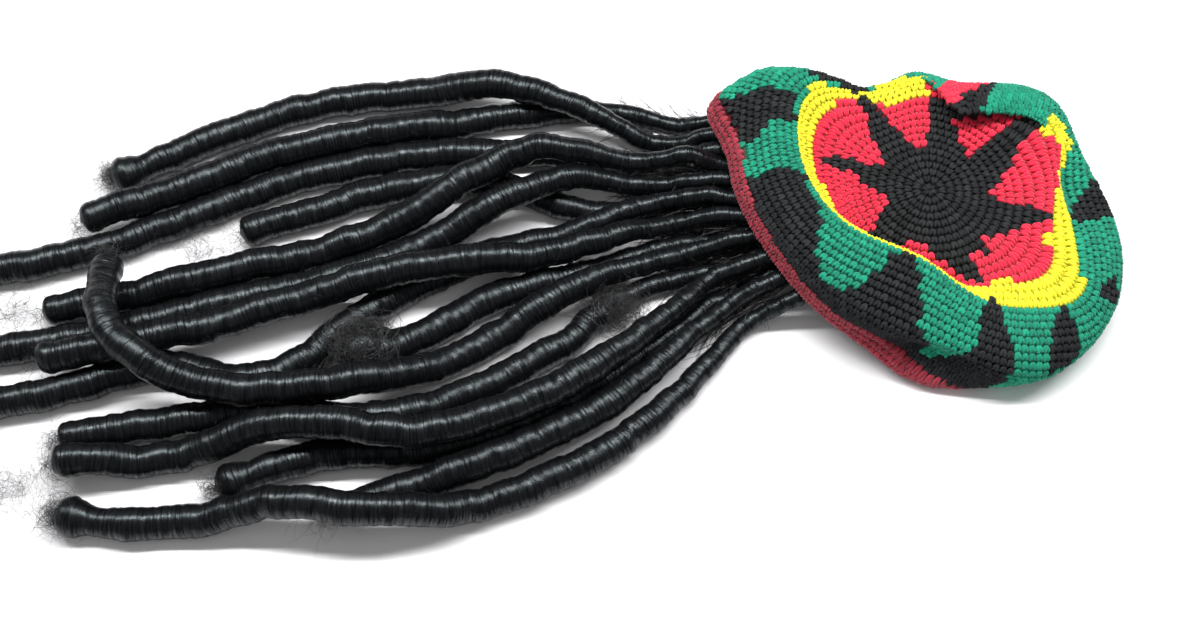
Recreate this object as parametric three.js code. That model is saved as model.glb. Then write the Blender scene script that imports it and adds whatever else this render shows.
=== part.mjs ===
// Crocheted beanie with sewn-in dreadlocks, lying on a flat surface with its crown up.
// Millimetres, +Z up. The origin is on the surface under the cap, +X points from the
// dreadlocks' ends to the cap, and +Y points from the lower left edge of the cap to its far edge.
import * as THREE from 'three';

// Driving dimensions
const WALL = 4.5;                   // thickness of the bulky crochet
const SEAM_GAP = 0.4;               // gap between pieces that are worked or sewn together
const SLIT_ANGLE = -60.8;           // direction of the flattened opening, degrees from +X
const COLUMNS = 60;                 // faces around each ring of the cap
const LOCK_RADIUS = 11.0;           // full radius of a dreadlock
const ROOT_RADIUS = 5.8;            // radius where it is sewn in
const ROOT_SPREAD = 200;            // length over which a root swells to full size
const ROOT_INSIDE = 20;             // how far inside the rim a root starts
const TIER_DROP = 9.6;              // height between the two sewn rows of roots
const LOCK_SIDES = 8;
const LOCK_STEP = 21;               // length of one straight stretch of a dreadlock
const LAY_GAP = 0.35;               // gap where one dreadlock lies on another
const HUMP_SLOPE = 0.36;            // steepest rise of a dreadlock that passes over another
const ROOT_SLOPE = 0.55;            // steepest fall from the rim to the floor
const LIP_SAMPLES = 480;            // places at which the rim's edge is measured
const LAY_PASSES = 6;               // times that the laying is checked and lifted
const LAY_SAMPLES = 4;              // places checked on each straight stretch
const TIP_LENGTH = 7;               // rounded end of a dreadlock
const TIP_SHRINK = 0.55;

// Zones of the cap, in rounds of crochet counted from the centre of the crown
const CROWN_EDGE = 14;
const STRIPE_EDGE = 17;
const BAND_EDGE = 31;
const RIM_EDGE = 33;

// Rings of the cap: the reach of each round across the slit (near, far) and along it
// (head, foot), and the round's height on those four sides
const RINGS = [
  { round: 0, near: -11, far: -11, head: -1, foot: -1, zNear: 50, zFar: 50, zHead: 50, zFoot: 50 },
  { round: 4, near: -35, far: 13, head: -25, foot: 23, zNear: 49, zFar: 50, zHead: 50, zFoot: 49 },
  { round: 9, near: -62, far: 42, head: -58, foot: 53, zNear: 45, zFar: 48, zHead: 50, zFoot: 46 },
  { round: 12, near: -72, far: 60, head: -78, foot: 71, zNear: 43, zFar: 50, zHead: 52, zFoot: 44 },
  { round: 14, near: -80, far: 74, head: -94, foot: 83, zNear: 46, zFar: 52, zHead: 54, zFoot: 44 },
  { round: 17, near: -90, far: 92, head: -116, foot: 107, zNear: 56, zFar: 52, zHead: 56, zFoot: 44 },
  { round: 20, near: -101, far: 107, head: -134, foot: 126, zNear: 60, zFar: 44, zHead: 56, zFoot: 40 },
  { round: 24, near: -114, far: 114, head: -146, foot: 142, zNear: 58, zFar: 26, zHead: 49, zFoot: 26 },
  { round: 28, near: -122, far: 74, head: -153, foot: 136, zNear: 50, zFar: -8, zHead: 38, zFoot: 10 },
  { round: 31, near: -127, far: -8, head: -158, foot: 112, zNear: 43, zFar: -12, zHead: 27, zFoot: 2 },
  { round: 33, near: -130, far: -24, head: -158, foot: 100, zNear: 35, zFar: -12, zHead: 20, zFoot: 0 },
];

// Folds and dents: each pushes the cloth outward and lifts it, strongest at its angle
// (degrees from +X) and round, and fading over its spread and rounds. The inside of the
// cap follows a fold unless the cloth lies doubled up there.
const FOLDS = [
  { fold: 'crown valley', angle: 246, spread: 30, round: 12.5, rounds: 2.6, out: 4, lift: -14, inside: 1 },
  { fold: 'ridge of band', angle: 246, spread: 36, round: 17, rounds: 3.8, out: -27, lift: 8, inside: 1 },
  { fold: 'far edge, left', angle: 112, spread: 22, round: 24, rounds: 10, out: -46, lift: -4, inside: 1 },
  { fold: 'far edge, right', angle: 70, spread: 27, round: 25, rounds: 9, out: -46, lift: 0, inside: 1 },
  { fold: 'puffed head end', angle: 150, spread: 11, round: 26, rounds: 6, out: 14, lift: 4, inside: 1 },
  { fold: 'head end, drawn in', angle: 172, spread: 16, round: 31, rounds: 6, out: -8, lift: 0, inside: 1 },
  { fold: 'tuck at lower left', angle: 264, spread: 22, round: 28, rounds: 5, out: -20, lift: 0, inside: 1 },
  { fold: 'lower edge', angle: 286, spread: 22, round: 25, rounds: 6, out: 6, lift: 0, inside: 1 },
  { fold: 'lower right edge', angle: 332, spread: 26, round: 26, rounds: 8, out: 5, lift: 0, inside: 1 },
  { fold: 'right edge, drawn in', angle: 18, spread: 20, round: 22, rounds: 6, out: -6, lift: 0, inside: 1 },
  { fold: 'crown corner, lower', angle: 317, spread: 16, round: 16, rounds: 4, out: 15, lift: 0, inside: 1 },
  { fold: 'crown side, right', angle: 8, spread: 16, round: 14, rounds: 2.8, out: 6, lift: 0, inside: 1 },
  { fold: 'crown side, left', angle: 152, spread: 30, round: 15, rounds: 3, out: 7, lift: 0, inside: 1 },
  { fold: 'crown corner, upper', angle: 28, spread: 12, round: 16, rounds: 3, out: 16, lift: 0, inside: 1 },
  { fold: 'flap corner', angle: 37, spread: 12, round: 22, rounds: 3, out: 9, lift: 0, inside: 1 },
  { fold: 'step at right', angle: 2, spread: 16, round: 17.5, rounds: 2.4, out: -12, lift: -6, inside: 1 },
  { fold: 'flap, drawn in', angle: 54, spread: 26, round: 19.6, rounds: 2.1, out: -38, lift: 0, inside: 0 },
  { fold: 'flap, raised', angle: 54, spread: 28, round: 21.4, rounds: 3.4, out: 0, lift: 24, inside: 0 },
  { fold: 'flap, far side', angle: 56, spread: 18, round: 26, rounds: 3, out: 7, lift: 0, inside: 1 },
  { fold: 'underside', angle: 72, spread: 36, round: 30.5, rounds: 4.5, out: 0, lift: -18, inside: 1 },
  { fold: 'far corner of rim', angle: 100, spread: 26, round: 35, rounds: 5, out: -26, lift: 0, inside: 1 },
  { fold: 'pleat', angle: 128, spread: 10, round: 23, rounds: 8, out: -14, lift: -4, inside: 1 },
];
const FLOOR_BEND = 6;               // height over which the cloth bends onto the floor
const FOLDS_START = 6;              // rounds over which folds fade in from the centre

// Dreadlocks in the order in which they lie, lowest first. Tier 0 is sewn right under
// the rim and tier 1 below it. Each route runs from the rim to the free end.
const LOCKS = [
  {
    lock: 16, tier: 1,
    route: [
      [-146, 10], [-185, 10], [-231, 3], [-262, 7], [-290, 18], [-318, 27], [-350, 28], [-383, 22],
      [-413, 14], [-440, 2], [-465, -5], [-490, -14],
    ],
  },
  {
    lock: 18, tier: 1,
    route: [
      [-135, -21], [-178, -22], [-212, -33], [-250, -48], [-290, -60], [-320, -72], [-350, -91],
      [-376, -106], [-400, -112],
    ],
  },
  {
    lock: 14, tier: 1,
    route: [
      [-118, -54], [-155, -68], [-184, -90], [-220, -119], [-265, -148], [-315, -172],
      [-365, -183], [-410, -185], [-450, -194], [-487, -209],
    ],
  },
  {
    lock: 13, tier: 1,
    route: [
      [-126, -38], [-165, -46], [-205, -59], [-234, -74], [-253, -96], [-276, -112], [-306, -131],
      [-340, -147], [-375, -161], [-410, -163], [-445, -157], [-480, -155], [-520, -162],
      [-560, -168], [-596, -174],
    ],
  },
  {
    lock: 7, tier: 0,
    route: [
      [-143, 2], [-188, 5], [-215, -2], [-250, -17], [-285, -24], [-318, -34], [-350, -49],
      [-382, -68], [-408, -86], [-428, -105], [-447, -121], [-474, -131], [-502, -128],
      [-530, -121], [-566, -128], [-604, -140], [-643, -149], [-680, -157],
    ],
  },
  {
    lock: 5, tier: 0,
    route: [
      [-149, 18], [-195, 20], [-245, 22], [-275, 15], [-310, 0], [-350, -20], [-400, -43],
      [-445, -59], [-490, -70], [-540, -84], [-590, -98], [-635, -107], [-672, -114],
    ],
  },
  {
    lock: 4, tier: 0,
    route: [
      [-152, 30], [-205, 33], [-267, 36], [-300, 33], [-325, 22], [-355, 3], [-395, -17],
      [-443, -34], [-491, -48], [-546, -62], [-586, -71], [-620, -78],
    ],
  },
  {
    lock: 3, tier: 0,
    route: [
      [-154, 45], [-200, 46], [-260, 51], [-326, 53], [-370, 50], [-413, 42], [-470, 25],
      [-525, 0], [-565, -18], [-610, -34], [-655, -45], [-690, -52],
    ],
  },
  {
    lock: 2, tier: 0,
    route: [
      [-157, 75], [-190, 82], [-235, 91], [-300, 86], [-356, 75], [-414, 64], [-472, 47],
      [-527, 22], [-565, 5], [-600, -12],
    ],
  },
  {
    lock: 6, tier: 0,
    route: [
      [-138, -12], [-180, -10], [-210, -20], [-250, -35], [-300, -46], [-351, -53], [-400, -64],
      [-455, -80], [-500, -95], [-540, -107], [-580, -117], [-614, -122],
    ],
  },
  {
    lock: 11, tier: 0,
    route: [
      [-114, -61], [-150, -78], [-177, -101], [-208, -132], [-248, -162], [-290, -184],
      [-331, -200], [-375, -213], [-415, -226],
    ],
  },
  {
    lock: 10, tier: 0,
    route: [
      [-123, -46], [-158, -56], [-184, -80], [-215, -109], [-262, -144], [-310, -167],
      [-365, -180], [-420, -174], [-465, -175], [-510, -186], [-550, -192], [-594, -194],
    ],
  },
  {
    lock: 12, tier: 0,
    route: [
      [-105, -75], [-138, -88], [-163, -116], [-197, -153], [-239, -186], [-290, -212],
      [-345, -229], [-400, -232], [-450, -227], [-500, -233], [-550, -235], [-590, -229],
    ],
  },
  {
    lock: 9, tier: 0,
    route: [
      [-130, -29], [-168, -34], [-210, -47], [-252, -64], [-300, -93], [-348, -121], [-400, -141],
      [-450, -148], [-500, -146], [-538, -135], [-562, -116], [-574, -90], [-576, -58],
    ],
  },
  {
    lock: 1, tier: 0,
    route: [
      [-156, 58], [-200, 61], [-235, 74], [-283, 93], [-330, 104], [-387, 104], [-445, 95],
      [-503, 74], [-545, 53], [-583, 33],
    ],
  },
];

const COLOURS = {
  crown: 0xd0263f,
  stripe: 0xf2cf1d,
  band: 0x08734f,
  rim: 0x8f1e32,
  lock: 0x141518,
};

const radians = THREE.MathUtils.degToRad;
const ALONG = new THREE.Vector2(Math.cos(radians(SLIT_ANGLE)), Math.sin(radians(SLIT_ANGLE)));
const ACROSS = new THREE.Vector2(-ALONG.y, ALONG.x);

// One column of a table, as a smooth curve through its rows
function smoothColumn(table, key, column, at) {
  let i = 0;
  while (i < table.length - 2 && at > table[i + 1][key]) i += 1;
  const slope = (j) => {
    if (j === 0) return (table[1][column] - table[0][column]) / (table[1][key] - table[0][key]);
    const last = table.length - 1;
    if (j === last) {
      const rise = table[last][column] - table[last - 1][column];
      return rise / (table[last][key] - table[last - 1][key]);
    }
    const before = table[j][key] - table[j - 1][key];
    const after = table[j + 1][key] - table[j][key];
    const left = (table[j][column] - table[j - 1][column]) / before;
    const right = (table[j + 1][column] - table[j][column]) / after;
    return (left * after + right * before) / (before + after);
  };
  const width = table[i + 1][key] - table[i][key];
  const u = (at - table[i][key]) / width;
  const start = table[i][column] * (1 + 2 * u) * (1 - u) ** 2 + slope(i) * width * u * (1 - u) ** 2;
  const end = table[i + 1][column] * u ** 2 * (3 - 2 * u) + slope(i + 1) * width * u ** 2 * (u - 1);
  return start + end;
}

// Cloth that would sink below the floor lies flat on it, and bends gently onto it
function onFloor(height) {
  if (height < -FLOOR_BEND) return 0;
  if (height > FLOOR_BEND) return height;
  return (height + FLOOR_BEND) ** 2 / (4 * FLOOR_BEND);
}

// A point of the cap's outer face, by round and direction
function capPoint(round, angle, folds) {
  const value = (column) => smoothColumn(RINGS, 'round', column, round);
  const turn = angle - radians(SLIT_ANGLE);
  const head = value('head');
  const foot = value('foot');
  const near = value('near');
  const far = value('far');
  const zNear = value('zNear');
  const zFar = value('zFar');
  const zHead = value('zHead');
  const zFoot = value('zFoot');
  const along = (head + foot) / 2 + (foot - head) / 2 * Math.cos(turn);
  const across = (near + far) / 2 + (far - near) / 2 * Math.sin(turn);
  const tilt = (zFoot - zHead) / 2 * Math.cos(turn) + (zFar - zNear) / 2 * Math.sin(turn);
  const saddle = (zHead + zFoot - zNear - zFar) / 4 * Math.cos(2 * turn);
  const point = new THREE.Vector3(
    along * ALONG.x + across * ACROSS.x,
    along * ALONG.y + across * ACROSS.y,
    (zNear + zFar + zHead + zFoot) / 4 + tilt + saddle,
  );
  const fade = Math.min(1, round / FOLDS_START);
  for (const fold of folds) {
    const off = THREE.MathUtils.euclideanModulo(
      THREE.MathUtils.radToDeg(angle) - fold.angle + 180, 360) - 180;
    const share = fade * Math.exp(-((off / fold.spread) ** 2) - ((round - fold.round) / fold.rounds) ** 2);
    point.x += share * fold.out * Math.cos(angle);
    point.y += share * fold.out * Math.sin(angle);
    point.z += share * fold.lift;
  }
  return point.setZ(onFloor(point.z));
}

const INSIDE_FOLDS = FOLDS.filter((fold) => fold.inside === 1);
const NUDGE = 0.02;

// The direction along a round
function aroundAt(round, angle) {
  const from = capPoint(round, angle - NUDGE, INSIDE_FOLDS);
  return capPoint(round, angle + NUDGE, INSIDE_FOLDS).sub(from).normalize();
}

// The direction in the cloth square to a round, away from the crown's centre
function outwardAt(round, angle) {
  const from = capPoint(round - NUDGE, angle, INSIDE_FOLDS);
  const away = capPoint(round + NUDGE, angle, INSIDE_FOLDS).sub(from);
  const around = aroundAt(round, angle);
  return away.addScaledVector(around, -away.dot(around)).normalize();
}

// The matching point of the cap's inner face, one wall thickness in
function innerPoint(round, angle) {
  const here = capPoint(round, angle, INSIDE_FOLDS);
  if (round === 0) return here.setZ(here.z - WALL);
  const normal = outwardAt(round, angle).cross(aroundAt(round, angle));
  here.addScaledVector(normal, -WALL);
  return here.setZ(Math.max(here.z, WALL));
}

// A mesh from its points and its triangles, three places in the list of points each
function meshOf(points, faces) {
  const geometry = new THREE.BufferGeometry();
  const places = points.flatMap((point) => [point.x, point.y, point.z]);
  geometry.setAttribute('position', new THREE.Float32BufferAttribute(places, 3));
  geometry.setIndex(faces.flat());
  geometry.computeVertexNormals();
  return geometry;
}

function joinRings(faces, a, b, count) {
  for (let i = 0; i < count; i += 1) {
    const j = (i + 1) % count;
    faces.push([a + i, b + i, b + j], [a + i, b + j, a + j]);
  }
}

function addRing(points, make, count) {
  const first = points.length;
  for (let i = 0; i < count; i += 1) points.push(make(i * 2 * Math.PI / count));
  return first;
}

// One zone of the cap between two rounds: an outer and an inner face with their edges,
// drawn back by half a seam gap from each neighbouring zone
function capZone(name, from, to, steps, colour) {
  const points = [];
  const faces = [];
  const outer = [];
  const inner = [];
  for (let k = from === 0 ? 1 : 0; k <= steps; k += 1) {
    const round = from + (to - from) * k / steps;
    let back = 0;
    if (k === 0) back = SEAM_GAP / 2;
    if (k === steps && to < RIM_EDGE) back = -SEAM_GAP / 2;
    const drawn = (point, angle) => {
      return back === 0 ? point : point.addScaledVector(outwardAt(round, angle), back);
    };
    outer.push(addRing(points, (angle) => drawn(capPoint(round, angle, FOLDS), angle), COLUMNS));
    inner.push(addRing(points, (angle) => drawn(innerPoint(round, angle), angle), COLUMNS));
  }
  for (let k = 1; k < outer.length; k += 1) {
    joinRings(faces, outer[k - 1], outer[k], COLUMNS);
    joinRings(faces, inner[k], inner[k - 1], COLUMNS);
  }
  joinRings(faces, outer[outer.length - 1], inner[inner.length - 1], COLUMNS);
  if (from === 0) {
    const top = points.push(capPoint(0, 0, FOLDS)) - 1;
    const under = points.push(innerPoint(0, 0)) - 1;
    for (let i = 0; i < COLUMNS; i += 1) {
      const j = (i + 1) % COLUMNS;
      faces.push([top, outer[0] + i, outer[0] + j], [under, inner[0] + j, inner[0] + i]);
    }
  } else {
    for (let i = 0; i < COLUMNS; i += 1) {
      const j = (i + 1) % COLUMNS;
      faces.push([outer[0] + i, inner[0] + j, inner[0] + i], [outer[0] + i, outer[0] + j, inner[0] + j]);
    }
  }
  return part(name, meshOf(points, faces), colour, 0.95);
}

function part(name, geometry, colour, roughness) {
  const material = new THREE.MeshStandardMaterial({ color: colour, roughness, metalness: 0 });
  const mesh = new THREE.Mesh(geometry, material);
  mesh.name = name;
  return mesh;
}

const beanie = new THREE.Group();
beanie.add(capZone('crown', 0, CROWN_EDGE, 8, COLOURS.crown));
beanie.add(capZone('crown_stripe', CROWN_EDGE, STRIPE_EDGE, 2, COLOURS.stripe));
beanie.add(capZone('side_band', STRIPE_EDGE, BAND_EDGE, 9, COLOURS.band));
beanie.add(capZone('rim_band', BAND_EDGE, RIM_EDGE, 2, COLOURS.rim));

// Points all over the rim's edge
const LIP = [];
for (let i = 0; i < LIP_SAMPLES; i += 1) {
  const angle = i * 2 * Math.PI / LIP_SAMPLES;
  const outer = capPoint(RIM_EDGE, angle, FOLDS);
  const inner = innerPoint(RIM_EDGE, angle);
  LIP.push(outer, outer.clone().lerp(inner, 0.5), inner);
}

// The highest that a root along this line can lie and still pass under the rim's edge
function heightUnderLip(line) {
  const reach = ROOT_RADIUS + LAY_GAP;
  const over = LIP.map((point) => {
    const flat = point.clone().setZ(0);
    const apart = line.closestPointToPoint(flat, true, new THREE.Vector3()).distanceTo(flat);
    return apart < reach ? point.z - Math.sqrt(reach ** 2 - apart ** 2) : Infinity;
  });
  return Math.min(...over);
}

// Even points along a dreadlock's route, in plan, starting inside the rim
function planPoints(route) {
  const [first, second] = route.map(([x, y]) => new THREE.Vector3(x, y, 0));
  const back = first.clone().sub(second).setLength(ROOT_INSIDE);
  const knots = [first.clone().add(back), ...route.map(([x, y]) => new THREE.Vector3(x, y, 0))];
  const curve = new THREE.CatmullRomCurve3(knots, false, 'centripetal');
  return curve.getSpacedPoints(Math.round(curve.getLength() / LOCK_STEP));
}

function lockRadius(along) {
  const swell = THREE.MathUtils.smoothstep(along, ROOT_INSIDE, ROOT_INSIDE + ROOT_SPREAD);
  return ROOT_RADIUS + (LOCK_RADIUS - ROOT_RADIUS) * swell;
}

// The height at which a round of this radius at this point clears a laid dreadlock
function clearHeight(laid, point, radius) {
  let height = 0;
  for (let i = 1; i < laid.path.length; i += 1) {
    const line = new THREE.Line3(laid.path[i - 1], laid.path[i]);
    const on = line.closestPointToPoint(point, true, new THREE.Vector3());
    const apart = Math.hypot(on.x - point.x, on.y - point.y);
    const reach = radius + Math.max(laid.radii[i - 1], laid.radii[i]) + LAY_GAP;
    if (on.distanceTo(point) < reach) height = Math.max(height, on.z + Math.sqrt(reach ** 2 - apart ** 2));
  }
  return height;
}

// Heights of a dreadlock: on the floor, over what lies below it, and up under the rim
function layLock(row, laid) {
  const path = planPoints(row.route);
  const lengths = [0];
  for (let i = 1; i < path.length; i += 1) lengths.push(lengths[i - 1] + path[i].distanceTo(path[i - 1]));
  const radii = lengths.map(lockRadius);
  const rooted = lengths.map((length) => length <= ROOT_INSIDE + ROOT_RADIUS);
  const rootHeight = heightUnderLip(new THREE.Line3(path[0], path[1])) - row.tier * TIER_DROP;
  const need = radii.map((radius, i) => (rooted[i] ? rootHeight : radius * Math.cos(Math.PI / LOCK_SIDES)));
  const settle = () => path.forEach((point, i) => {
    point.z = need[i];
    if (rooted[i]) return;
    need.forEach((height, j) => {
      const slope = rooted[j] ? ROOT_SLOPE : HUMP_SLOPE;
      point.z = Math.max(point.z, height - slope * Math.abs(lengths[i] - lengths[j]));
    });
  });
  settle();
  for (let pass = 0; pass < LAY_PASSES; pass += 1) {
    for (let i = 1; i < path.length; i += 1) {
      for (let k = 0; k <= LAY_SAMPLES; k += 1) {
        const point = path[i - 1].clone().lerp(path[i], k / LAY_SAMPLES);
        const radius = THREE.MathUtils.lerp(radii[i - 1], radii[i], k / LAY_SAMPLES);
        for (const other of laid) {
          const lift = clearHeight(other, point, radius) - point.z;
          if (lift <= 0) continue;
          if (!rooted[i - 1]) need[i - 1] = Math.max(need[i - 1], path[i - 1].z + lift);
          if (!rooted[i]) need[i] = Math.max(need[i], path[i].z + lift);
        }
      }
    }
    settle();
  }
  return { path, radii };
}

// A dreadlock: eight-sided rings along its path, with a rounded free end
function lockMesh(name, laid) {
  const { path, radii } = laid;
  const tip = path[path.length - 1];
  const before = tip.clone().sub(path[path.length - 2]);
  const stations = path.map((centre, i) => ({ centre, radius: radii[i] }));
  const roundStart = stations[stations.length - 1];
  stations.push({
    centre: roundStart.centre.clone().add(before.setLength(TIP_LENGTH)),
    radius: roundStart.radius * TIP_SHRINK,
  });
  const points = [];
  const faces = [];
  const rings = stations.map(({ centre, radius }, i) => {
    const from = stations[Math.max(0, i - 1)].centre;
    const to = stations[Math.min(stations.length - 1, i + 1)].centre;
    const tangent = to.clone().sub(from).normalize();
    const side = tangent.clone().cross(new THREE.Vector3(0, 0, 1)).normalize();
    const up = side.clone().cross(tangent);
    return addRing(points, (angle) => {
      const turn = angle + Math.PI / LOCK_SIDES;
      const point = centre.clone().addScaledVector(side, radius * Math.cos(turn));
      return point.addScaledVector(up, radius * Math.sin(turn));
    }, LOCK_SIDES);
  });
  for (let k = 1; k < rings.length; k += 1) joinRings(faces, rings[k - 1], rings[k], LOCK_SIDES);
  const root = points.push(stations[0].centre.clone()) - 1;
  const end = points.push(stations[stations.length - 1].centre.clone()) - 1;
  for (let i = 0; i < LOCK_SIDES; i += 1) {
    const j = (i + 1) % LOCK_SIDES;
    faces.push([root, rings[0] + i, rings[0] + j]);
    faces.push([end, rings[rings.length - 1] + j, rings[rings.length - 1] + i]);
  }
  return part(name, meshOf(points, faces), COLOURS.lock, 0.45);
}

const laidLocks = [];
for (const row of LOCKS) {
  const laid = layLock(row, laidLocks);
  laidLocks.push(laid);
  beanie.add(lockMesh(`dreadlock_${String(row.lock).padStart(2, '0')}`, laid));
}

export default beanie;
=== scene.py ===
# Crocheted beanie with sewn-in dreadlocks, lying on a pale surface with its crown up.
# The tables below are in millimetres in the model's frame; the pieces are made in metres.
import math

import bpy
import numpy as np
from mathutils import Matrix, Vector


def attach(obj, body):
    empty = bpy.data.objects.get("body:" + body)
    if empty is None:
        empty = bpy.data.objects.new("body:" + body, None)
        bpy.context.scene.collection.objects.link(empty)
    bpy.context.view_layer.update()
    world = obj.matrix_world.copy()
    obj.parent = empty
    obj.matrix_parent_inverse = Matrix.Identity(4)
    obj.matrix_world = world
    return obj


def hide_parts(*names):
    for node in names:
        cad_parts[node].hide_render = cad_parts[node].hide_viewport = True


MM = 0.001
TINY = 1e-9  # keeps a division by a length of nothing in bounds
WALL = 4.5  # thickness of the bulky crochet
SLIT_ANGLE = math.radians(-60.8)  # direction of the flattened opening
FLOOR_BEND = 6.0  # height over which the cloth bends onto the floor
FOLDS_START = 6.0  # rounds over which folds fade in from the centre

# The rounds, counted from the centre of the crown, at which the flat crown and the cap end
STRIPE_EDGE = 17
RIM_EDGE = 33

# Round, reach of the round near, far, head and foot, and its height on those sides
RINGS = np.array([
    [0, -11, -11, -1, -1, 50, 50, 50, 50],
    [4, -35, 13, -25, 23, 49, 50, 50, 49],
    [9, -62, 42, -58, 53, 45, 48, 50, 46],
    [12, -72, 60, -78, 71, 43, 50, 52, 44],
    [14, -80, 74, -94, 83, 46, 52, 54, 44],
    [17, -90, 92, -116, 107, 56, 52, 56, 44],
    [20, -101, 107, -134, 126, 60, 44, 56, 40],
    [24, -114, 114, -146, 142, 58, 26, 49, 26],
    [28, -122, 74, -153, 136, 50, -8, 38, 10],
    [31, -127, -8, -158, 112, 43, -12, 27, 2],
    [33, -130, -24, -158, 100, 35, -12, 20, 0],
], float)

# Fold, angle, spread, round, rounds, out, lift, and whether the inside follows it
FOLDS = [
    ("crown valley", 246, 30, 12.5, 2.6, 4, -14, 1),
    ("ridge of band", 246, 36, 17, 3.8, -27, 8, 1),
    ("far edge, left", 112, 22, 24, 10, -46, -4, 1),
    ("far edge, right", 70, 27, 25, 9, -46, 0, 1),
    ("puffed head end", 150, 11, 26, 6, 14, 4, 1),
    ("head end, drawn in", 172, 16, 31, 6, -8, 0, 1),
    ("tuck at lower left", 264, 22, 28, 5, -20, 0, 1),
    ("lower edge", 286, 22, 25, 6, 6, 0, 1),
    ("lower right edge", 332, 26, 26, 8, 5, 0, 1),
    ("right edge, drawn in", 18, 20, 22, 6, -6, 0, 1),
    ("crown corner, lower", 317, 16, 16, 4, 15, 0, 1),
    ("crown side, right", 8, 16, 14, 2.8, 6, 0, 1),
    ("crown side, left", 152, 30, 15, 3, 7, 0, 1),
    ("crown corner, upper", 28, 12, 16, 3, 16, 0, 1),
    ("flap corner", 37, 12, 22, 3, 9, 0, 1),
    ("step at right", 2, 16, 17.5, 2.4, -12, -6, 1),
    ("flap, drawn in", 54, 26, 19.6, 2.1, -38, 0, 0),
    ("flap, raised", 54, 28, 21.4, 3.4, 0, 24, 0),
    ("flap, far side", 56, 18, 26, 3, 7, 0, 1),
    ("underside", 72, 36, 30.5, 4.5, 0, -18, 1),
    ("far corner of rim", 100, 26, 35, 5, -26, 0, 1),
    ("pleat", 128, 10, 23, 8, -14, -4, 1),
]

# Routes of the locks in the order in which they lie, from the rim to the free end
ROUTES = {
    "16": [
        (-146, 10), (-185, 10), (-231, 3), (-262, 7), (-290, 18), (-318, 27), (-350, 28),
        (-383, 22), (-413, 14), (-440, 2), (-465, -5), (-490, -14),
    ],
    "18": [
        (-135, -21), (-178, -22), (-212, -33), (-250, -48), (-290, -60), (-320, -72), (-350, -91),
        (-376, -106), (-400, -112),
    ],
    "14": [
        (-118, -54), (-155, -68), (-184, -90), (-220, -119), (-265, -148), (-315, -172),
        (-365, -183), (-410, -185), (-450, -194), (-487, -209),
    ],
    "13": [
        (-126, -38), (-165, -46), (-205, -59), (-234, -74), (-253, -96), (-276, -112),
        (-306, -131), (-340, -147), (-375, -161), (-410, -163), (-445, -157), (-480, -155),
        (-520, -162), (-560, -168), (-596, -174),
    ],
    "07": [
        (-143, 2), (-188, 5), (-215, -2), (-250, -17), (-285, -24), (-318, -34), (-350, -49),
        (-382, -68), (-408, -86), (-428, -105), (-447, -121), (-474, -131), (-502, -128),
        (-530, -121), (-566, -128), (-604, -140), (-643, -149), (-680, -157),
    ],
    "05": [
        (-149, 18), (-195, 20), (-245, 22), (-275, 15), (-310, 0), (-350, -20), (-400, -43),
        (-445, -59), (-490, -70), (-540, -84), (-590, -98), (-635, -107), (-672, -114),
    ],
    "04": [
        (-152, 30), (-205, 33), (-267, 36), (-300, 33), (-325, 22), (-355, 3), (-395, -17),
        (-443, -34), (-491, -48), (-546, -62), (-586, -71), (-620, -78),
    ],
    "03": [
        (-154, 45), (-200, 46), (-260, 51), (-326, 53), (-370, 50), (-413, 42), (-470, 25),
        (-525, 0), (-565, -18), (-610, -34), (-655, -45), (-690, -52),
    ],
    "02": [
        (-157, 75), (-190, 82), (-235, 91), (-300, 86), (-356, 75), (-414, 64), (-472, 47),
        (-527, 22), (-565, 5), (-600, -12),
    ],
    "06": [
        (-138, -12), (-180, -10), (-210, -20), (-250, -35), (-300, -46), (-351, -53), (-400, -64),
        (-455, -80), (-500, -95), (-540, -107), (-580, -117), (-614, -122),
    ],
    "11": [
        (-114, -61), (-150, -78), (-177, -101), (-208, -132), (-248, -162), (-290, -184),
        (-331, -200), (-375, -213), (-415, -226),
    ],
    "10": [
        (-123, -46), (-158, -56), (-184, -80), (-215, -109), (-262, -144), (-310, -167),
        (-365, -180), (-420, -174), (-465, -175), (-510, -186), (-550, -192), (-594, -194),
    ],
    "12": [
        (-105, -75), (-138, -88), (-163, -116), (-197, -153), (-239, -186), (-290, -212),
        (-345, -229), (-400, -232), (-450, -227), (-500, -233), (-550, -235), (-590, -229),
    ],
    "09": [
        (-130, -29), (-168, -34), (-210, -47), (-252, -64), (-300, -93), (-348, -121),
        (-400, -141), (-450, -148), (-500, -146), (-538, -135), (-562, -116), (-574, -90),
        (-576, -58),
    ],
    "01": [
        (-156, 58), (-200, 61), (-235, 74), (-283, 93), (-330, 104), (-387, 104), (-445, 95),
        (-503, 74), (-545, 53), (-583, 33),
    ],
}

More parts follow.
